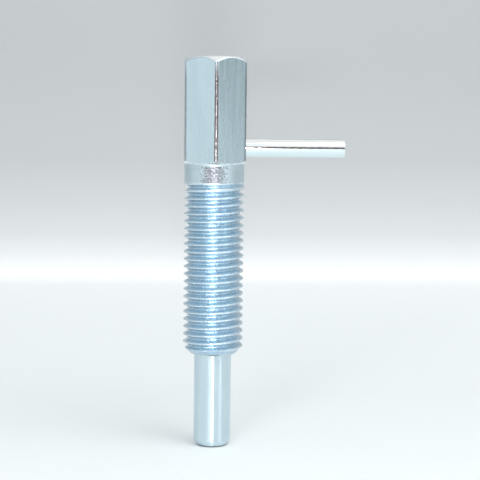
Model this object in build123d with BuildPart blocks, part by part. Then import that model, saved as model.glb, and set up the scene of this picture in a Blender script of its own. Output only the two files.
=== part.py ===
from build123d import *
import os
from math import ceil, cos, radians, tan

# Lever-operated indexing plunger, in millimetres.
# It stands on the flat end of its pin: the origin is the middle of that end face and
# +Z runs up the common axis. The lever points along +X.

# ---- Driving dimensions ----------------------------------------------------------

# Sleeve
thread_diameter = 15.85
thread_pitch = 2.0
thread_length = 45.0
thread_facets = 24
nose_chamfer = 1.8
neck_diameter = 15.75
neck_length = 5.35
hex_across_flats = 16.0
hex_length = 27.65
hex_top_land_diameter = 15.4
guide_bore_length = 10.0
chamber_diameter = 11.6
bore_edge_chamfer = 0.3

# Slot in one flat of the hexagon, open at the top
slot_width = 5.4
slot_end_rise = 0.45

# Plunger
pin_diameter = 9.9
pin_projection = 25.0
tip_chamfer_length = 1.6
tip_chamfer_depth = 0.9
collar_thickness = 2.5
stem_diameter = 8.0
stem_end_margin = 1.2
stem_end_chamfer = 0.5

# Lever
lever_diameter = 4.8
lever_reach = 34.3
lever_socket_depth = 6.4
lever_edge_chamfer = 0.25
lever_to_slot_end = 1.3

# Return spring and its pressed-in seat
wire_width = 1.0
active_coils = 5
closed_coil_gap = 0.05
seat_length = 3.5
seat_to_slot_end = 0.1
seat_edge_chamfer = 0.4

# Clearances on the radius
pin_clearance = 0.05
collar_clearance = 0.1
stem_clearance = 0.05
spring_clearance = 0.3

# ---- Derived sizes ---------------------------------------------------------------

# Heights up the axis
nose_z = pin_projection
thread_end_z = nose_z + thread_length
hex_bottom_z = thread_end_z + neck_length
hex_top_z = hex_bottom_z + hex_length
shoulder_z = nose_z + guide_bore_length
collar_top_z = shoulder_z + collar_thickness
slot_end_z = hex_bottom_z + slot_end_rise
slot_centre_z = slot_end_z + slot_width / 2
lever_z = slot_end_z + lever_to_slot_end + lever_diameter / 2
stem_top_z = lever_z + lever_diameter / 2 + stem_end_margin
seat_top_z = slot_end_z - seat_to_slot_end
seat_bottom_z = seat_top_z - seat_length

# Radii. The thread is 17/24 of its pitch's sharp triangle deep, as metric threads are.
thread_radius = thread_diameter / 2
thread_root_radius = thread_radius - 17 / 24 * thread_pitch * cos(radians(30))
neck_radius = neck_diameter / 2
hex_apothem = hex_across_flats / 2
hex_top_land_radius = hex_top_land_diameter / 2
chamber_radius = chamber_diameter / 2
pin_radius = pin_diameter / 2
guide_bore_radius = pin_radius + pin_clearance
collar_radius = chamber_radius - collar_clearance
stem_radius = stem_diameter / 2
lever_radius = lever_diameter / 2
coil_radius = chamber_radius - spring_clearance - wire_width / 2


# ---- Threaded barrel -------------------------------------------------------------

# One pitch of the thread as (radius, height): a V groove on each side of a flat crest
# that is an eighth of the pitch wide
crest_half = thread_pitch / 16
thread_section = (
    (thread_root_radius, 0),
    (thread_radius, thread_pitch / 2 - crest_half),
    (thread_radius, thread_pitch / 2 + crest_half),
    (thread_root_radius, thread_pitch),
)

# The section climbs a right-hand helix in straight steps. It starts below the nose and
# ends above the thread, so that its two end caps are cut away.
thread_start_z = nose_z - 1.5 * thread_pitch
thread_turns = ceil((thread_end_z - thread_start_z) / thread_pitch) + 1
thread_steps = thread_turns * thread_facets


def thread_corner(step, radius, height):
    climbed = thread_start_z + height + thread_pitch * step / thread_facets
    return Vector(radius, 0, climbed).rotate(Axis.Z, 360 * step / thread_facets)


def flat_face(*corners):
    return Face(Wire.make_polygon(corners))


thread_faces = []
for step in range(thread_steps):
    for below, above in zip(thread_section, thread_section[1:]):
        low_start = thread_corner(step, *below)
        low_end = thread_corner(step + 1, *below)
        high_start = thread_corner(step, *above)
        high_end = thread_corner(step + 1, *above)
        thread_faces.append(flat_face(low_start, low_end, high_end))
        thread_faces.append(flat_face(low_start, high_end, high_start))

# Caps: a fan from the axis to the last turn's edge, closed by the section itself
for cap_z, last_step, edge_height in (
    (thread_start_z, thread_facets, 0),
    (thread_start_z + thread_pitch * (thread_turns + 1), thread_steps, thread_pitch),
):
    centre = Vector(0, 0, cap_z)
    for step in range(last_step - thread_facets, last_step):
        edge_start = thread_corner(step, thread_root_radius, edge_height)
        edge_end = thread_corner(step + 1, thread_root_radius, edge_height)
        thread_faces.append(flat_face(centre, edge_start, edge_end))
    cap_step = 0 if edge_height == 0 else thread_steps
    thread_faces.append(flat_face(centre, *(thread_corner(cap_step, *point) for point in thread_section)))

with BuildPart() as barrel:
    # The nose's chamfer and the barrel's two ends trim the helix.
    trim_radius = thread_radius + thread_pitch
    with BuildSketch(Plane.XZ):
        with BuildLine():
            Polyline(
                (0, nose_z),
                (thread_radius - nose_chamfer, nose_z),
                (trim_radius, nose_z + nose_chamfer + thread_pitch),
                (trim_radius, thread_end_z),
                (0, thread_end_z),
                close=True,
            )
        make_face()
    revolve(axis=Axis.Z)
    add(Solid(Shell(thread_faces)), mode=Mode.INTERSECT)


# ---- Sleeve ----------------------------------------------------------------------

with BuildPart() as sleeve:
    # Neck and head come from hexagon bar, with a flat facing the lever.
    with BuildSketch(Plane.XY.offset(thread_end_z)):
        RegularPolygon(radius=hex_apothem, side_count=6, major_radius=False, rotation=30)
    extrude(amount=neck_length + hex_length)

    # Turning takes the bar down to the neck and the corners off the head: a 30 degree
    # cone under the head, and a 45 degree cone on top of it.
    bar_radius = hex_across_flats
    cone_rise = (bar_radius - neck_radius) * tan(radians(30))
    with BuildSketch(Plane.XZ):
        with BuildLine():
            Polyline(
                (0, thread_end_z),
                (neck_radius, thread_end_z),
                (neck_radius, hex_bottom_z),
                (bar_radius, hex_bottom_z + cone_rise),
                (bar_radius, hex_top_z - (bar_radius - hex_top_land_radius)),
                (hex_top_land_radius, hex_top_z),
                (0, hex_top_z),
                close=True,
            )
        make_face()
    revolve(axis=Axis.Z, mode=Mode.INTERSECT)
    add(barrel.part)

    # Guide bore for the pin through the nose, and the spring chamber from the head down
    with Locations((0, 0, hex_top_z)):
        CounterBoreHole(
            radius=guide_bore_radius,
            counter_bore_radius=chamber_radius,
            counter_bore_depth=hex_top_z - shoulder_z,
        )
    nose_edge = sleeve.edges().filter_by(GeomType.CIRCLE).group_by(Axis.Z)[0].sort_by(SortBy.RADIUS)[0]
    mouth_edge = sleeve.edges().filter_by(GeomType.CIRCLE).group_by(Axis.Z)[-1].sort_by(SortBy.RADIUS)[0]
    chamfer([nose_edge, mouth_edge], bore_edge_chamfer)

    # Slot for the lever: round below, open at the top, through the wall on one side
    with BuildSketch(Plane.YZ):
        with Locations((0, slot_centre_z)):
            Circle(slot_width / 2)
        with Locations((0, (slot_centre_z + hex_top_z) / 2)):
            Rectangle(slot_width, hex_top_z - slot_centre_z)
    extrude(amount=hex_across_flats, mode=Mode.SUBTRACT)


# ---- Plunger ---------------------------------------------------------------------

with BuildPart() as plunger:
    # Pin, collar and stem, turned in one piece. The collar rests on the sleeve's shoulder.
    with BuildSketch(Plane.XZ):
        with BuildLine():
            Polyline(
                (0, 0),
                (pin_radius - tip_chamfer_depth, 0),
                (pin_radius, tip_chamfer_length),
                (pin_radius, shoulder_z),
                (collar_radius, shoulder_z),
                (collar_radius, collar_top_z),
                (stem_radius, collar_top_z),
                (stem_radius, stem_top_z - stem_end_chamfer),
                (stem_radius - stem_end_chamfer, stem_top_z),
                (0, stem_top_z),
                close=True,
            )
        make_face()
    revolve(axis=Axis.Z)

    # Blind cross hole that holds the lever
    socket_bottom_x = stem_radius - lever_socket_depth
    with BuildSketch(Plane.YZ.offset(socket_bottom_x)):
        with Locations((0, lever_z)):
            Circle(lever_radius)
    extrude(amount=lever_socket_depth, mode=Mode.SUBTRACT)


# ---- Lever -----------------------------------------------------------------------

with BuildPart() as lever:
    with BuildSketch(Plane.YZ.offset(socket_bottom_x)):
        with Locations((0, lever_z)):
            Circle(lever_radius)
    extrude(amount=lever_reach - socket_bottom_x)
    chamfer(lever.edges().group_by(Axis.X)[-1], lever_edge_chamfer)


# ---- Spring seat -----------------------------------------------------------------

# A ring pressed into the chamber below the slot, with a lead chamfer on its lower edge
with BuildPart() as spring_seat:
    with BuildSketch(Plane.XY.offset(seat_bottom_z)):
        Circle(chamber_radius)
        Circle(stem_radius + stem_clearance, mode=Mode.SUBTRACT)
    extrude(amount=seat_length)
    lead_edge = spring_seat.edges().group_by(Axis.Z)[0].sort_by(SortBy.RADIUS)[-1]
    chamfer(lead_edge, seat_edge_chamfer)


# ---- Return spring ---------------------------------------------------------------

# One closed coil at each end, ground flat, and evenly spaced coils between them
closed_pitch = wire_width + closed_coil_gap
first_active_z = collar_top_z + closed_pitch
last_active_z = seat_bottom_z - closed_pitch
active_pitch = (last_active_z - first_active_z) / active_coils

with BuildPart() as return_spring:
    for start_z, pitch, turns in (
        (collar_top_z, closed_pitch, 1),
        (first_active_z, active_pitch, active_coils),
        (last_active_z, closed_pitch, 1),
    ):
        with BuildLine(Plane.XY.offset(start_z)) as coil_path:
            Helix(pitch=pitch, height=pitch * turns, radius=coil_radius)
        with BuildSketch(Plane.XZ):
            with Locations((coil_radius, start_z)):
                Rectangle(wire_width, wire_width)
        sweep(path=coil_path.line, is_frenet=True)
    split(bisect_by=Plane.XY.offset(collar_top_z), keep=Keep.TOP)
    split(bisect_by=Plane.XY.offset(seat_bottom_z), keep=Keep.BOTTOM)


# ---- Files -----------------------------------------------------------------------

os.makedirs("parts", exist_ok=True)

sleeve.part.label = "sleeve"
export_step(sleeve.part, "parts/sleeve.step")

plunger.part.label = "plunger"
export_step(plunger.part, "parts/plunger.step")

lever.part.label = "lever"
export_step(lever.part, "parts/lever.step")

spring_seat.part.label = "spring_seat"
export_step(spring_seat.part, "parts/spring_seat.step")

return_spring.part.label = "return_spring"
export_step(return_spring.part, "parts/return_spring.step")
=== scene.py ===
import bmesh
import bpy
from math import asin, atan2, cos, degrees, hypot, pi, radians, sin, sqrt, tan
from mathutils import Matrix, Vector


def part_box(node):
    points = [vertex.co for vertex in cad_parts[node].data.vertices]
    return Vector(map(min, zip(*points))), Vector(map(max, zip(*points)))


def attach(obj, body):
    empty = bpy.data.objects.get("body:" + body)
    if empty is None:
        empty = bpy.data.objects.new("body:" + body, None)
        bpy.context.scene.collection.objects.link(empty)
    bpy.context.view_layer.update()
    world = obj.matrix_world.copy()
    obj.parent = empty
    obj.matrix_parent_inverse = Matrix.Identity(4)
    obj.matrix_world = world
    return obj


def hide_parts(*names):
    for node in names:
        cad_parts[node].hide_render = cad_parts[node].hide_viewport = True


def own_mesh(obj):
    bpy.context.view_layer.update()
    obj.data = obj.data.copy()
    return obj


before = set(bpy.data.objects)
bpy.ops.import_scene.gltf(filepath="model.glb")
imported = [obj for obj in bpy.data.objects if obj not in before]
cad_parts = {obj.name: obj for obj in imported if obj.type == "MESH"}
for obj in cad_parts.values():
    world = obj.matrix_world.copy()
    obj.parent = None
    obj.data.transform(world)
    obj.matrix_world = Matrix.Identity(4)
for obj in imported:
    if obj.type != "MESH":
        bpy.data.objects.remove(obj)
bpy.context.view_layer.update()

# The object's sizes are in millimetres, and each mesh is scaled to metres as it is made.
# The room, the lamps and the camera are in metres.
MM = 0.001


# ---- Sizes -----------------------------------------------------------------------

def node_box(node):
    """Lowest and highest corner of a CAD node in millimetres, to the micron."""
    return [[round(value / MM, 3) for value in corner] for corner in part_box(node)]


sleeve_low, sleeve_high = node_box("sleeve")
lever_low, lever_high = node_box("lever")
spring_low, spring_high = node_box("return_spring")
plunger_high = node_box("plunger")[1]
seat_high = node_box("spring_seat")[1]

# Sleeve: heights up the axis
NOSE_Z = sleeve_low[2]
SHOULDER_Z = NOSE_Z + 10.0
THREAD_END_Z = NOSE_Z + 45.0
HEX_TOP_Z = sleeve_high[2]
FILLET_Z = HEX_TOP_Z - 27.84
SLOT_CENTRE_Z = HEX_TOP_Z - 24.5

# Sleeve: radii and what lies across them
CREST_R = 7.925
NECK_R = 7.875
NOSE_R = CREST_R - 1.8
GUIDE_R = 5.0
CHAMBER_R = seat_high[0]
TOP_LAND_R = 7.7
APOTHEM = sleeve_high[0]
SLOT_HALF = 2.7
BORE_CHAMFER = 0.3
NECK_FILLET = 0.35
CORNER_ROUND = 0.7

# Thread: 17/24 of its pitch's sharp triangle deep, with 60 degrees between its flanks. The
# points that round it off have a climb from the crest's middle, and with it a depth under
# the crest or a height over the root.
PITCH = 2.0
ROOT_R = CREST_R - 17 / 24 * PITCH * cos(radians(30))
CREST_ROUNDING = [(0.085, 0.0), (0.120, 0.009), (0.146, 0.035)]
FLANK_CLIMBS = [0.300, 0.460, 0.620]
ROOT_ROUNDING = [(0.761, 0.125), (0.820, 0.050), (0.892, 0.014), (0.978, 0.0)]

# Run-out: the last grooves rise from here until they have left the bar. The thread's rows
# run on over the start of the neck.
RUNOUT_START_Z = THREAD_END_Z - 1.0
RUNOUT_HEIGHT = 1.5
RUNOUT_RISE = CREST_R - ROOT_R + 0.1
THREAD_ROWS_END_Z = THREAD_END_Z + 1.0

# Plunger
PIN_R = 4.95
TIP_CHAMFER_DEPTH = 0.9
TIP_CHAMFER_LENGTH = 1.6
COLLAR_R = plunger_high[0]
COLLAR_TOP_Z = spring_low[2]
STEM_R = 4.0
STEM_CHAMFER = 0.5
STEM_TOP_Z = plunger_high[2]

# Lever
LEVER_R = lever_high[1]
LEVER_Z = (lever_low[2] + lever_high[2]) / 2

# Spring
WIRE_R = 0.5
COIL_R = spring_high[0] - WIRE_R
COIL_TURNS = 7
CLOSED_PITCH = 1.05

# Narrow bands that break the sleeve's edges, and rows close to them that keep the smooth
# shading off the flats
EDGE_BREAK = 0.05
FOOT_ROW = 0.12
CONE_ROW = 0.22
LAND_ROW = 0.03

# Creases sharper than this, in degrees, stay sharp in the smooth shading
METAL_CREASE = 32
WIRE_CREASE = 50
SWEEP_CREASE = 60


# ---- Mesh helpers ----------------------------------------------------------------

def quad_strip(bm, first, second):
    """Joins two rows of vertices of equal length with quads."""
    for a, b, c, d in zip(first, first[1:], second[1:], second):
        bm.faces.new((a, b, c, d))


def finish_mesh(name, bm, sharp_angle):
    """Welds a bmesh, turns its faces outwards and shades it smooth up to an angle."""
    weld_distance = 0.0004 * MM
    bmesh.ops.remove_doubles(bm, verts=bm.verts, dist=weld_distance)
    bmesh.ops.recalc_face_normals(bm, faces=bm.faces)
    mesh = bpy.data.meshes.new(name)
    bm.to_mesh(mesh)
    bm.free()
    mesh.shade_smooth()
    mesh.set_sharp_from_angle(angle=radians(sharp_angle))
    return mesh


def add_piece(name, mesh, body, node, materials):
    """Links a finished mesh, lets it ride on a body and stand for its CAD node."""
    piece = bpy.data.objects.new(name, mesh)
    bpy.context.scene.collection.objects.link(piece)
    for material in materials:
        mesh.materials.append(material)
    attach(piece, body)
    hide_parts(node)
    return piece


def between(start, end, count):
    """Evenly spaced values from start to end, without start itself."""
    return [start + (end - start) * k / count for k in range(1, count + 1)]


def rounded(corners):
    """Turns (r, z, rounding) corners into an outline of (r, z) points with round corners.
    The first and the last corner stay as they are."""
    steps = 4
    outline = [corners[0][:2]]
    for before, (r, z, radius), after in zip(corners, corners[1:], corners[2:]):
        here = Vector((r, z))
        into = (here - Vector(before[:2])).normalized()
        away = (Vector(after[:2]) - here).normalized()
        turn = into.angle(away)
        bend = (away - into * into.dot(away)).normalized()
        centre = here - into * radius * tan(turn / 2) + bend * radius
        for k in range(steps + 1):
            angle = turn * k / steps
            point = centre - bend * radius * cos(angle) + into * radius * sin(angle)
            outline.append((point.x, point.y))
    outline.append(corners[-1][:2])
    return outline


def lathe(name, outline, columns, place):
    """Revolves an outline; place turns the lathe's own x, y and z into the part's frame."""
    bm = bmesh.new()
    rings = []
    for r, z in outline:
        ring = []
        for k in range(columns):
            angle = 2 * pi * k / columns
            ring.append(bm.verts.new(place(r * cos(angle), r * sin(angle), z)))
        rings.append(ring + ring[:1])
    for lower, upper in zip(rings, rings[1:]):
        quad_strip(bm, lower, upper)
    return finish_mesh(name, bm, METAL_CREASE)


# ---- Sleeve ----------------------------------------------------------------------

# The sleeve is built from columns of points (r, angle, z) that stand round the axis. The
# first column is at the middle of the slotted flat.

FLAT_HALF = radians(30)
SIXTH = radians(60)
SLOT_COLUMNS = 6


def sleeve_columns():
    """The columns as (angle, y). The angle is the one on the flats, and y is the place
    across the slot, or None for a column outside the slot."""
    side_columns, corner_columns, flat_columns = 4, 4, 20
    corner_half = atan2(CORNER_ROUND / 2, APOTHEM / cos(FLAT_HALF))
    near = []
    for k in range(SLOT_COLUMNS + 1):
        y = SLOT_HALF * sin(radians(90) * k / SLOT_COLUMNS)
        near.append((atan2(y, APOTHEM), y))
    slot_edge = near[-1][0]
    near += [(angle, None) for angle in between(slot_edge, FLAT_HALF - corner_half, side_columns)]
    angles = []
    for corner in range(6):
        middle = FLAT_HALF + SIXTH * corner
        angles += between(middle - corner_half, middle + corner_half, corner_columns)
        if corner < 5:
            angles += between(middle + corner_half, middle + SIXTH - corner_half, flat_columns)
    far = [(2 * pi - angle, None if y is None else -y) for angle, y in reversed(near[1:-1])]
    return near + [(angle, None) for angle in angles] + far


def column_angle(column, r):
    """A column's angle at a radius: in the slot it keeps its y, and the other columns
    share out what is left."""
    angle, y = column
    if angle > pi:
        return 2 * pi - column_angle((2 * pi - angle, None if y is None else -y), r)
    if y is not None:
        return asin(y / r)
    share = (pi - angle) / (pi - atan2(SLOT_HALF, APOTHEM))
    return pi - (pi - asin(SLOT_HALF / r)) * share


def hex_radius(angle):
    """Outer radius of the hexagon bar with its long corners rounded."""
    off_flat = abs((angle + FLAT_HALF) % SIXTH - FLAT_HALF)
    off_corner = FLAT_HALF - off_flat
    flat_r = APOTHEM / cos(off_flat)
    centre_r = (APOTHEM - CORNER_ROUND) / cos(FLAT_HALF)
    inside = CORNER_ROUND ** 2 - (centre_r * sin(off_corner)) ** 2
    if inside <= 0:
        return flat_r
    return min(flat_r, centre_r * cos(off_corner) + sqrt(inside))


def under_head_z(r):
    """Height of the turned surface under the head: a fillet that runs into a 30 degree cone."""
    centre_r = NECK_R + NECK_FILLET
    fillet_end_r = centre_r - NECK_FILLET * sin(radians(30))
    if r <= fillet_end_r:
        return FILLET_Z + sqrt(max(0.0, NECK_FILLET ** 2 - (r - centre_r) ** 2))
    return FILLET_Z + NECK_FILLET * cos(radians(30)) + (r - fillet_end_r) * tan(radians(30))


def wall_end_z(column):
    """Height at which the lower wall ends: at the slot's round bottom, and beside the slot at
    the height of its centre."""
    y = column[1]
    if y is None:
        return SLOT_CENTRE_Z
    return SLOT_CENTRE_Z - sqrt(max(0.0, SLOT_HALF ** 2 - y ** 2))


def thread_profile():
    """One pitch of the thread from the middle of a crest, as (climb, radius)."""
    crest = [(climb, CREST_R - depth) for climb, depth in CREST_ROUNDING]
    root = [(climb, ROOT_R + height) for climb, height in ROOT_ROUNDING]
    (start, start_r), (end, end_r) = crest[-1], root[0]
    slope = (end_r - start_r) / (end - start)
    flank = [(climb, start_r + (climb - start) * slope) for climb in FLANK_CLIMBS]
    half = crest + flank + root
    return half + [(PITCH - climb, r) for climb, r in reversed(half)]


def thread_column(profile, angle):
    """The thread's rows at one angle, cut by the bar, the nose's chamfer and both ends."""
    column = []
    turned = angle / (2 * pi)
    for k in range(int(NOSE_Z / PITCH) - 2, int(THREAD_ROWS_END_Z / PITCH) + 2):
        groove_z = PITCH * (k + 1 + turned)
        run_out = min(1.0, max(0.0, (groove_z - RUNOUT_START_Z) / RUNOUT_HEIGHT))
        for climb, radius in profile:
            z = PITCH * (k + 0.5 + turned) + climb
            z = min(max(z, NOSE_Z), THREAD_ROWS_END_Z)
            bar_r = CREST_R if z < THREAD_END_Z else NECK_R
            column.append((min(radius + run_out * RUNOUT_RISE, bar_r, NOSE_R + z - NOSE_Z), angle, z))
    return column


def outer_column(column):
    """Neck, fillet and cone under the head, and the flat up to the slot's centre."""
    angle = column[0]
    flat_r = hex_radius(angle)
    points = [(NECK_R, angle, z) for z in [THREAD_ROWS_END_Z] + between(THREAD_ROWS_END_Z, FILLET_Z, 4)]
    for share in between(0, 1, 8):
        r = NECK_R + (flat_r - EDGE_BREAK - NECK_R) * share ** 2
        points.append((r, angle, under_head_z(r)))
    foot = under_head_z(flat_r) + EDGE_BREAK
    first_row = foot + FOOT_ROW
    heights = [foot, first_row] + between(first_row, wall_end_z(column), 6)
    return points + [(flat_r, angle, z) for z in heights]


def inner_column(column):
    """Chamber from the slot's centre down, shoulder, guide bore and the nose's face."""
    bore_angle = column_angle(column, CHAMBER_R)
    top = wall_end_z(column)
    heights = [top] + between(top, FILLET_Z, 5) + between(FILLET_Z, SHOULDER_Z, 4)
    return [(CHAMBER_R, bore_angle, z) for z in heights] + [
        (GUIDE_R, bore_angle, SHOULDER_Z),
        (GUIDE_R, bore_angle, NOSE_Z + BORE_CHAMFER),
        (GUIDE_R + BORE_CHAMFER, bore_angle, NOSE_Z),
        (NOSE_R, column[0], NOSE_Z),
    ]


def head_column(column):
    """Flat above the slot's centre, cone and land on top, and the chamber's mouth."""
    angle, y = column
    flat_r = hex_radius(angle)
    cone_foot = HEX_TOP_Z - (flat_r - TOP_LAND_R)
    heights = [SLOT_CENTRE_Z] + between(SLOT_CENTRE_Z, cone_foot - CONE_ROW, 6) + [cone_foot - EDGE_BREAK]
    points = [(flat_r, angle, z) for z in heights]
    cone_start_r = flat_r - EDGE_BREAK
    for r in [cone_start_r] + between(cone_start_r, TOP_LAND_R + EDGE_BREAK, 2):
        cone_angle = angle if y is None else column_angle(column, r)
        points.append((r, cone_angle, HEX_TOP_Z - (r - TOP_LAND_R)))
    for r in (TOP_LAND_R - LAND_ROW, (TOP_LAND_R + CHAMBER_R) / 2, CHAMBER_R + BORE_CHAMFER):
        points.append((r, column_angle(column, r), HEX_TOP_Z))
    mouth_z = HEX_TOP_Z - BORE_CHAMFER
    bore_angle = column_angle(column, CHAMBER_R)
    return points + [(CHAMBER_R, bore_angle, z) for z in [mouth_z] + between(mouth_z, SLOT_CENTRE_Z, 6)]


def make_sleeve():
    bm = bmesh.new()
    columns = sleeve_columns()

    def add_columns(rows):
        """Makes the columns' vertices and joins neighbours with quads."""
        made = []
        for column in rows:
            made.append([bm.verts.new((r * cos(a) * MM, r * sin(a) * MM, z * MM)) for r, a, z in column])
        for first, second in zip(made, made[1:]):
            quad_strip(bm, first, second)
        return made

    # The thread climbs one pitch in its turn, so it ends with a column of its own.
    profile = thread_profile()
    angles = [column[0] for column in columns] + [2 * pi]
    add_columns([thread_column(profile, angle) for angle in angles])

    outer = add_columns([outer_column(column) for column in columns])
    quad_strip(bm, outer[-1], outer[0])
    inner = add_columns([inner_column(column) for column in columns])
    quad_strip(bm, inner[-1], inner[0])

    # The head is open at the slot, and one face closes it on each side.
    walled = columns[SLOT_COLUMNS:1 - SLOT_COLUMNS]
    head = add_columns([head_column(column) for column in walled])
    bm.faces.new(head[0])
    bm.faces.new(head[-1])

    # Floor of the slot, from the flat to the bore, on both sides of the first column
    for k in range(-SLOT_COLUMNS, SLOT_COLUMNS):
        bm.faces.new((outer[k][-1], outer[k + 1][-1], inner[k + 1][0], inner[k][0]))
    return finish_mesh("sleeve_body", bm, METAL_CREASE)


# ---- Material helpers ------------------------------------------------------------

def new_material(name):
    """A material with nothing but a Principled shader in it, its node tree and the shader."""
    material = bpy.data.materials.new(name)
    material.use_nodes = True
    tree = material.node_tree
    tree.nodes.clear()
    output = tree.nodes.new("ShaderNodeOutputMaterial")
    shader = tree.nodes.new("ShaderNodeBsdfPrincipled")
    tree.links.new(shader.outputs[0], output.inputs[0])
    return material, tree, shader


def scaled_position(tree, scale):
    """The point on the piece in the part's frame, with each axis scaled."""
    coordinates = tree.nodes.new("ShaderNodeTexCoord")
    mapping = tree.nodes.new("ShaderNodeMapping")
    mapping.inputs["Scale"].default_value = scale
    tree.links.new(coordinates.outputs["Object"], mapping.inputs["Vector"])
    return mapping.outputs["Vector"]


def part_axes(tree):
    """x, y and z of the point on the piece, in millimetres."""
    axes = tree.nodes.new("ShaderNodeSeparateXYZ")
    tree.links.new(scaled_position(tree, (1 / MM, 1 / MM, 1 / MM)), axes.inputs[0])
    return axes.outputs


def noise(tree, per_metre, detail=1.0):
    """Noise with so many features per metre along each axis."""
    node = tree.nodes.new("ShaderNodeTexNoise")
    node.inputs["Scale"].default_value = 1.0
    node.inputs["Detail"].default_value = detail
    node.inputs["Roughness"].default_value = 0.5
    tree.links.new(scaled_position(tree, per_metre), node.inputs["Vector"])
    return node.outputs["Fac"]


def remap(tree, value, low, high, to_low=0.0, to_high=1.0):
    """Turns low..high into to_low..to_high, and holds the end values beyond them."""
    node = tree.nodes.new("ShaderNodeMapRange")
    node.inputs["From Min"].default_value = low
    node.inputs["From Max"].default_value = high
    node.inputs["To Min"].default_value = to_low
    node.inputs["To Max"].default_value = to_high
    tree.links.new(value, node.inputs["Value"])
    return node.outputs["Result"]


def maths(tree, operation, first, second=0.0):
    """Works on one or two values, each a number or a socket."""
    node = tree.nodes.new("ShaderNodeMath")
    node.operation = operation
    for socket, value in zip(node.inputs, (first, second)):
        if isinstance(value, (int, float)):
            socket.default_value = value
        else:
            tree.links.new(value, socket)
    return node.outputs[0]


def axis_distance(tree):
    """How far the point on the piece is from the axis, in millimetres."""
    x, y = part_axes(tree)[:2]
    squares = maths(tree, "ADD", maths(tree, "MULTIPLY", x, x), maths(tree, "MULTIPLY", y, y))
    return maths(tree, "SQRT", squares)


def mix_colour(tree, factor, first, second):
    """Mixes two colours, each a tuple or a socket. The Mix node's inputs 6 and 7 and its
    output 2 are the ones for colours."""
    node = tree.nodes.new("ShaderNodeMix")
    node.data_type = "RGBA"
    tree.links.new(factor, node.inputs[0])
    for socket, value in ((node.inputs[6], first), (node.inputs[7], second)):
        if isinstance(value, tuple):
            socket.default_value = (*value, 1)
        else:
            tree.links.new(value, socket)
    return node.outputs[2]


def paint_over(tree, shader, factor, colour):
    """Lays a colour over the shader's present one, where the factor is 1."""
    base = shader.inputs["Base Color"]
    present = base.links[0].from_socket
    tree.links.new(mix_colour(tree, factor, present, colour), base)


def colour_ramp(tree, factor, stops):
    """Runs through (position, colour) stops as the factor goes from 0 to 1."""
    node = tree.nodes.new("ShaderNodeValToRGB")
    tree.links.new(factor, node.inputs[0])
    while len(node.color_ramp.elements) < len(stops):
        node.color_ramp.elements.new(0.5)
    for element, (position, colour) in zip(node.color_ramp.elements, stops):
        element.position = position
        element.color = (*colour, 1)
    return node.outputs[0]


def bump(tree, height, distance):
    """Relief that is the distance deep, in metres, as the height goes from 0 to 1."""
    node = tree.nodes.new("ShaderNodeBump")
    node.inputs["Strength"].default_value = 1.0
    node.inputs["Distance"].default_value = distance
    tree.links.new(height, node.inputs["Height"])
    return node.outputs["Normal"]


def metal(name, light, dark, clouds, grain, roughness, depth, detail=1.0):
    """Metal with a cloudy tint from light to dark, and a fine grain in roughness and relief.
    clouds and grain are in features per metre, and depth is the grain's, in metres."""
    material, tree, shader = new_material(name)
    shader.inputs["Metallic"].default_value = 1.0
    cloud = remap(tree, noise(tree, clouds, detail=3.0), 0.35, 0.65)
    tree.links.new(mix_colour(tree, cloud, light, dark), shader.inputs["Base Color"])
    fine = noise(tree, grain, detail)
    tree.links.new(remap(tree, fine, 0.3, 0.7, *roughness), shader.inputs["Roughness"])
    tree.links.new(bump(tree, fine, depth), shader.inputs["Normal"])
    return material, tree, shader


def turning_marks(tree, shader, strength):
    """Marks that run round Z, so that highlights spread along it."""
    tangent = tree.nodes.new("ShaderNodeTangent")
    tangent.direction_type = "RADIAL"
    tangent.axis = "Z"
    tree.links.new(tangent.outputs["Tangent"], shader.inputs["Tangent"])
    shader.inputs["Anisotropic"].default_value = strength
    shader.inputs["Anisotropic Rotation"].default_value = 0.25


# ---- Materials -------------------------------------------------------------------

def drawn_flats():
    """Flats of the drawn bar. On its rounded corners a dark reflection of the room in front is painted,
    speckled like wear: a grey rim round a speckled core, both fainter near the top and away
    from the front."""
    material, tree, shader = metal(
        "zinc_drawn_flats", light=(0.63, 0.765, 0.82), dark=(0.59, 0.725, 0.78),
        clouds=(300, 300, 60), grain=(1100, 1100, 70), roughness=(0.24, 0.29), depth=0.000002, detail=3.0,
    )
    rim_start_r, rim_full_r = 8.93, 8.99
    core_start_r, core_full_r = 9.03, 9.07
    front_y, side_y = -8.8, -8.3
    edge_wander = 0.035

    y, z = part_axes(tree)[1:]
    wobble = remap(tree, noise(tree, (2200, 2200, 1100)), 0.2, 0.8, -edge_wander, edge_wander)
    reach = maths(tree, "ADD", axis_distance(tree), wobble)
    front = remap(tree, y, front_y, side_y, 1.0, 0.4)

    # Painted dark reflection on the corners: a grey rim, fainter near the top and away from the front.
    rim = remap(tree, reach, rim_start_r, rim_full_r)
    rim_top = remap(tree, z, HEX_TOP_Z - 6.0, HEX_TOP_Z - 1.8, 1.0, 0.25)
    rim = maths(tree, "MULTIPLY", maths(tree, "MULTIPLY", rim, rim_top), front)
    paint_over(tree, shader, rim, (0.24, 0.215, 0.215))

    # Painted dark reflection on the corners: a speckled core inside the rim, faded the same way.
    core = remap(tree, reach, core_start_r, core_full_r)
    core_top = remap(tree, z, HEX_TOP_Z - 6.5, HEX_TOP_Z - 2.5, 1.0, 0.3)
    core = maths(tree, "MULTIPLY", maths(tree, "MULTIPLY", core, core_top), front)
    speckle = remap(tree, noise(tree, (2900, 2900, 2300)), 0.42, 0.62)
    specks = mix_colour(tree, speckle, (0.11, 0.09, 0.09), (0.36, 0.36, 0.38))
    paint_over(tree, shader, core, specks)
    return material


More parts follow.
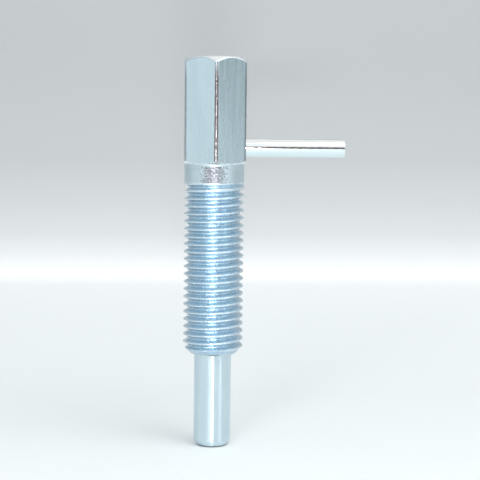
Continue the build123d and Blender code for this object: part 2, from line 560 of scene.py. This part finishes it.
def turned_neck():
    """Turned neck, cone and bore, with a patch of dark specks painted on the front of the neck: a
    painted sparkle of glints and dark reflections where the front lamps' highlight falls.
    """
    material, tree, shader = metal(
        "zinc_turned", light=(0.61, 0.72, 0.77), dark=(0.56, 0.67, 0.72),
        clouds=(400, 400, 400), grain=(2700, 2700, 2700), roughness=(0.40, 0.48), depth=0.00002,
    )
    # Painted sparkle patch on the front of the neck: dark and pale specks where its highlight falls.
    patch_x = -0.5
    patch_half, clear_half = 1.6, 3.4
    edge_wander = 2.2
    patch_y, clear_y = -6.5, -6.0

    x, y, z = part_axes(tree)
    wander = remap(tree, noise(tree, (2800, 2800, 2800)), 0.2, 0.8, -edge_wander, edge_wander)
    off_middle = maths(tree, "ABSOLUTE", maths(tree, "ADD", maths(tree, "SUBTRACT", x, patch_x), wander))
    patch = remap(tree, off_middle, patch_half, clear_half, 1.0, 0.0)
    patch = maths(tree, "MULTIPLY", patch, remap(tree, y, patch_y, clear_y, 1.0, 0.0))
    below_fillet = remap(tree, z, FILLET_Z - 0.46, FILLET_Z - 0.06, 1.0, 0.0)
    patch = maths(tree, "MULTIPLY", patch, below_fillet)
    speckle = remap(tree, noise(tree, (3900, 3900, 3900)), 0.40, 0.60)
    specks = mix_colour(tree, speckle, (0.10, 0.095, 0.11), (0.35, 0.37, 0.41))
    paint_over(tree, shader, patch, specks)
    return material


def thread_zinc():
    """Blue plate in the grooves, with a painted highlight that makes it paler on the crests, under a bright
    clear film.
    """
    material, tree, shader = metal(
        "zinc_thread", light=(0.50, 0.665, 0.785), dark=(0.45, 0.61, 0.735),
        clouds=(500, 500, 500), grain=(2600, 2600, 2600), roughness=(0.24, 0.36), depth=0.0001,
    )
    # Painted highlight: the crests are paler than the grooves.
    crest = remap(tree, axis_distance(tree), CREST_R - 0.475, CREST_R - 0.075)
    paint_over(tree, shader, crest, (0.70, 0.81, 0.88))
    shader.inputs["Coat Weight"].default_value = 1.0
    shader.inputs["Coat Roughness"].default_value = 0.30
    shader.inputs["Coat IOR"].default_value = 1.6
    turning_marks(tree, shader, 0.3)
    return material


def chamfer_zinc():
    """Turned faces on top of the head and under it, painted near white as their highlight."""
    # A paler copy of the zinc: painted highlight on faces that tilt up or down.
    return metal(
        "zinc_chamfer_highlight", light=(0.93, 0.95, 0.955), dark=(0.84, 0.88, 0.90),
        clouds=(900, 900, 900), grain=(2700, 2700, 2700), roughness=(0.2, 0.32), depth=0.00003,
    )[0]


def ground_pin():
    """Ground round the axis, with painted shade along the lowest edge of its tip, where it meets the floor.
    """
    material, tree, shader = metal(
        "zinc_ground_pin", light=(0.68, 0.805, 0.865), dark=(0.64, 0.775, 0.835),
        clouds=(300, 300, 120), grain=(300, 300, 3800), roughness=(0.29, 0.33), depth=0.000003, detail=3.0,
    )
    # Painted contact shade on the tip's lowest edge.
    shade_z, unshaded_z = 0.15, 0.5
    tip_contact_shade = remap(tree, part_axes(tree)[2], shade_z, unshaded_z, 1.0, 0.0)
    paint_over(tree, shader, tip_contact_shade, (0.16, 0.18, 0.19))
    turning_marks(tree, shader, 0.95)
    return material


def lever_zinc():
    """Drawn bar with a painted highlight: near white on its upper half, bluer on its lower half."""
    material, tree, shader = metal(
        "zinc_lever", light=(0.97, 0.98, 0.98), dark=(0.92, 0.95, 0.96),
        clouds=(300, 600, 600), grain=(900, 2600, 2600), roughness=(0.08, 0.15), depth=0.000012, detail=3.0,
    )
    # Painted highlight and shade: the near-white base stays on the upper half, and the lower half is bluer.
    shaded_lower_half = remap(tree, part_axes(tree)[2], LEVER_Z - 0.5, LEVER_Z, 1.0, 0.0)
    paint_over(tree, shader, shaded_lower_half, (0.76, 0.87, 0.905))
    return material


def seat_steel():
    return metal(
        "steel_seat", light=(0.50, 0.54, 0.57), dark=(0.44, 0.48, 0.52),
        clouds=(400, 400, 400), grain=(300, 300, 3000), roughness=(0.25, 0.4), depth=0.000004, detail=3.0,
    )[0]


def spring_steel():
    return metal(
        "steel_spring", light=(0.42, 0.44, 0.46), dark=(0.34, 0.36, 0.38),
        clouds=(700, 700, 700), grain=(2500, 2500, 2500), roughness=(0.25, 0.4), depth=0.000004, detail=3.0,
    )[0]


# ---- Pieces ----------------------------------------------------------------------

# Order of the sleeve's materials
FLATS, TURNED, THREAD, CHAMFER_HIGHLIGHT = range(4)


def sleeve_finish(face):
    """Which of the sleeve's materials a face gets, by its place and by how much it looks
    up or down."""
    x, y, z = face.center / MM
    r = hypot(x, y)
    tilt = abs(face.normal.z)
    beside_thread = NOSE_Z + 0.45 < z < THREAD_END_Z + 0.5
    outside_chamber = r > CHAMBER_R + BORE_CHAMFER
    near_top = z > HEX_TOP_Z - 2
    below_head = z < FILLET_Z + 0.3
    inside_flats = r < APOTHEM - 0.1
    if beside_thread and outside_chamber:
        return THREAD
    # Faces tilted up near the top, or tilted under the head, get the painted highlight.
    if tilt > 0.5 and (near_top or r > NECK_R):
        return CHAMFER_HIGHLIGHT
    if below_head or inside_flats or tilt > 0.05:
        return TURNED
    return FLATS


sleeve_mesh = make_sleeve()
sleeve_materials = [drawn_flats(), turned_neck(), thread_zinc(), chamfer_zinc()]
add_piece("sleeve_body", sleeve_mesh, "sleeve", "sleeve", sleeve_materials)
for face in sleeve_mesh.polygons:
    face.material_index = sleeve_finish(face)


def upright(x, y, z):
    """Leaves a lathed piece on the axis."""
    return Vector((x, y, z)) * MM


def along_lever(x, y, z):
    """Lays a lathed piece along X at the lever's height."""
    return Vector((z, x, y + LEVER_Z)) * MM


plunger_outline = rounded([
    (0, 0, 0),
    (PIN_R - TIP_CHAMFER_DEPTH, 0, 0.35),
    (PIN_R, TIP_CHAMFER_LENGTH, 0.6),
    (PIN_R, SHOULDER_Z, 0.05),
    (COLLAR_R, SHOULDER_Z, 0.15),
    (COLLAR_R, COLLAR_TOP_Z, 0.15),
    (STEM_R, COLLAR_TOP_Z, 0.2),
    (STEM_R, STEM_TOP_Z - STEM_CHAMFER, 0.15),
    (STEM_R - STEM_CHAMFER, STEM_TOP_Z, 0.15),
    (0, STEM_TOP_Z, 0),
])
plunger_mesh = lathe("plunger_pin", plunger_outline, columns=128, place=upright)
add_piece("plunger_pin", plunger_mesh, "plunger", "plunger", [ground_pin()])

lever_outline = rounded([
    (0, lever_low[0], 0),
    (LEVER_R, lever_low[0], 0.1),
    (LEVER_R, lever_high[0], 0.22),
    (0, lever_high[0], 0),
])
lever_mesh = lathe("lever_bar", lever_outline, columns=96, place=along_lever)
add_piece("lever_bar", lever_mesh, "plunger", "lever", [lever_zinc()])


def make_spring():
    """Round wire with one closed coil at each end, ground flat, and even coils between."""
    around, steps = 12, 40
    low, high = spring_low[2], spring_high[2]
    bm = bmesh.new()
    rings = []
    for k in range(COIL_TURNS * steps + 1):
        turns = k / steps
        if turns < 1:
            middle_z = low + CLOSED_PITCH * turns
        elif turns > COIL_TURNS - 1:
            middle_z = high - CLOSED_PITCH * (COIL_TURNS - turns)
        else:
            climbed = (turns - 1) / (COIL_TURNS - 2)
            middle_z = low + CLOSED_PITCH + (high - low - 2 * CLOSED_PITCH) * climbed
        angle = 2 * pi * turns
        ring = []
        for m in range(around):
            wire_angle = 2 * pi * m / around
            r = COIL_R + WIRE_R * cos(wire_angle)
            z = min(max(middle_z + WIRE_R * sin(wire_angle), low), high)
            ring.append(bm.verts.new((r * cos(angle) * MM, r * sin(angle) * MM, z * MM)))
        rings.append(ring + ring[:1])
    for first, second in zip(rings, rings[1:]):
        quad_strip(bm, first, second)
    bm.faces.new(rings[0][:-1])
    bm.faces.new(rings[-1][:-1])
    return finish_mesh("spring_wire", bm, WIRE_CREASE)


spring = add_piece("spring_wire", make_spring(), "sleeve", "return_spring", [spring_steel()])
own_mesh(spring)

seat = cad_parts["spring_seat"]
seat.data.materials.clear()
seat.data.materials.append(seat_steel())


# ---- Floor and backdrop ----------------------------------------------------------

def make_sweep():
    """One sheet that runs back along the floor and bends up into the wall. The floor is in
    three stretches and the wall in two."""
    half_width, wall_y, bend = 1.6, 0.40, 0.10
    bend_y = wall_y - bend
    outline = [(y, 0.0) for y in (-1.1, -0.4, 0.0, bend_y)]
    for angle in between(0, radians(90), 16):
        outline.append((bend_y + bend * sin(angle), bend - bend * cos(angle)))
    outline += [(wall_y, z) for z in (0.3, 0.5)]
    bm = bmesh.new()
    rows = [[bm.verts.new((x, y, z)) for y, z in outline] for x in (-half_width, 0.0, half_width)]
    for first, second in zip(rows, rows[1:]):
        quad_strip(bm, first, second)
    return finish_mesh("sweep", bm, SWEEP_CREASE)


def sweep_paper():
    """Pale paper with a painted band of light at the foot of the bend, and painted shade that darkens
    it up the wall. To the camera, the far part of the floor also glows a little, and that sends no
    light onto the object."""
    material, tree, shader = new_material("sweep_paper")
    shader.inputs["Roughness"].default_value = 0.55
    shader.inputs["Specular IOR Level"].default_value = 0.3
    coordinates = tree.nodes.new("ShaderNodeTexCoord")
    axes = tree.nodes.new("ShaderNodeSeparateXYZ")
    tree.links.new(coordinates.outputs["Object"], axes.inputs[0])
    y, z = axes.outputs[1:]
    height = remap(tree, z, 0.0, 0.2)
    # Painted light: a bright band where the floor bends up, and painted shade that deepens up the wall.
    paper = colour_ramp(tree, height, [
        (0.0, (0.85, 0.885, 0.89)),
        (0.012, (0.98, 0.985, 0.985)),
        (0.05, (0.83, 0.855, 0.865)),
        (0.18, (0.67, 0.69, 0.70)),
        (0.3, (0.575, 0.595, 0.605)),
        (0.6, (0.55, 0.57, 0.58)),
    ])
    tree.links.new(paper, shader.inputs["Base Color"])
    glow = colour_ramp(tree, height, [
        (0.0, (0.17, 0.17, 0.17)),
        (0.03, (0.13, 0.13, 0.13)),
        (0.10, (0.0, 0.0, 0.0)),
    ])
    tree.links.new(glow, shader.inputs["Emission Color"])
    camera_ray = tree.nodes.new("ShaderNodeLightPath").outputs["Is Camera Ray"]
    behind = remap(tree, y, 0.06, 0.33)
    tree.links.new(maths(tree, "MULTIPLY", camera_ray, behind), shader.inputs["Emission Strength"])
    return material


sweep = bpy.data.objects.new("sweep", make_sweep())
bpy.context.scene.collection.objects.link(sweep)
sweep.data.materials.append(sweep_paper())


# ---- Camera ----------------------------------------------------------------------

# Focal length of the photograph's camera, in pixels of its frame
FOCUS_PX = 1280
PICTURE_PX = 480

camera_data = bpy.data.cameras.new("camera")
camera_data.sensor_width = 36.0
camera_data.lens = camera_data.sensor_width * FOCUS_PX / PICTURE_PX
camera_data.clip_start = 0.01
camera = bpy.data.objects.new("camera", camera_data)
bpy.context.scene.collection.objects.link(camera)
camera.location = (-0.0148, -0.3367, 0.0906)
heading = Matrix.Rotation(radians(-3.7), 4, "Z")
pitch = Matrix.Rotation(radians(90 - 6.01), 4, "X")
roll = Matrix.Rotation(radians(0.68), 4, "Z")
camera.rotation_euler = (heading @ pitch @ roll).to_euler("XYZ")
bpy.context.scene.camera = camera


# ---- Light -----------------------------------------------------------------------

def area_light(name, place, target, size, watts):
    """A rectangular lamp that shines from its place to a target and isn't seen itself."""
    data = bpy.data.lights.new(name, "AREA")
    data.shape = "RECTANGLE"
    data.size, data.size_y = size
    data.energy = watts
    lamp = bpy.data.objects.new(name, data)
    bpy.context.scene.collection.objects.link(lamp)
    lamp.location = place
    lamp.rotation_euler = (Vector(target) - Vector(place)).to_track_quat("-Z", "Y").to_euler()
    lamp.visible_camera = False


part_middle = (0, 0, 0.05)
area_light("lamp_front", (-0.015, -0.46, 0.045), target=(0, 0, 0.045), size=(0.04, 0.018), watts=0.62)
area_light("lamp_left", (-0.17, -0.45, 0.28), target=part_middle, size=(0.16, 0.12), watts=0.62)
area_light("lamp_right", (0.46, -0.42, 0.22), target=part_middle, size=(0.09, 0.34), watts=0.26)
area_light("lamp_top", (0.26, -0.24, 0.58), target=part_middle, size=(0.45, 0.30), watts=1.24)


def make_room():
    """The room that the metal mirrors: pale, with a dark band just above the horizon that
    is darkest in front and missing on the left. The camera sees plain grey."""
    world = bpy.data.worlds.new("studio")
    world.use_nodes = True
    tree = world.node_tree
    tree.nodes.clear()

    direction = tree.nodes.new("ShaderNodeTexCoord")
    axes = tree.nodes.new("ShaderNodeSeparateXYZ")
    tree.links.new(direction.outputs["Generated"], axes.inputs[0])
    x, y, z = axes.outputs

    # Both in degrees. Azimuth 0 is in front of the part, and the left is negative.
    in_degrees = degrees(1)
    elevation = maths(tree, "MULTIPLY", maths(tree, "ARCSINE", z), in_degrees)
    azimuth = maths(tree, "ARCTAN2", x, maths(tree, "MULTIPLY", y, -1.0))
    azimuth = maths(tree, "MULTIPLY", azimuth, in_degrees)

    # Height in the room: 0 is 10 degrees below the horizon and 1 is straight up.
    climb = remap(tree, elevation, -10.0, 90.0)
    ceiling = (0.86, 0.88, 0.89)
    band_top = (0.98, 1.0, 1.01)
    sides = colour_ramp(tree, climb, [
        (0.0, (0.8, 0.84, 0.86)),
        (0.085, (0.62, 0.66, 0.68)),
        (0.115, (0.17, 0.20, 0.21)),
        (0.20, (0.22, 0.25, 0.27)),
        (0.30, band_top),
        (0.6, ceiling),
        (0.8, ceiling),
    ])
    left = colour_ramp(tree, climb, [
        (0.0, (0.85, 0.9, 0.93)),
        (0.14, (0.9, 0.95, 0.98)),
        (0.27, (0.60, 0.64, 0.66)),
        (0.6, (0.60, 0.64, 0.66)),
        (0.85, ceiling),
    ])
    front = colour_ramp(tree, climb, [
        (0.0, (0.5, 0.5, 0.5)),
        (0.08, (0.10, 0.08, 0.08)),
        (0.23, (0.12, 0.10, 0.10)),
        (0.32, band_top),
        (0.8, ceiling),
    ])
    is_left = remap(tree, azimuth, -45.0, -25.0, 1.0, 0.0)
    is_front = remap(tree, maths(tree, "ABSOLUTE", azimuth), 18.0, 36.0, 1.0, 0.0)
    room = mix_colour(tree, is_front, mix_colour(tree, is_left, sides, left), front)

    lit = tree.nodes.new("ShaderNodeBackground")
    tree.links.new(room, lit.inputs["Color"])
    seen = tree.nodes.new("ShaderNodeBackground")
    seen.inputs["Color"].default_value = (0.56, 0.595, 0.615, 1)
    camera_ray = tree.nodes.new("ShaderNodeLightPath").outputs["Is Camera Ray"]
    mixer = tree.nodes.new("ShaderNodeMixShader")
    tree.links.new(camera_ray, mixer.inputs[0])
    tree.links.new(lit.outputs[0], mixer.inputs[1])
    tree.links.new(seen.outputs[0], mixer.inputs[2])
    output = tree.nodes.new("ShaderNodeOutputWorld")
    tree.links.new(mixer.outputs[0], output.inputs[0])
    return world


bpy.context.scene.world = make_room()
bpy.context.scene.view_settings.view_transform = "Standard"
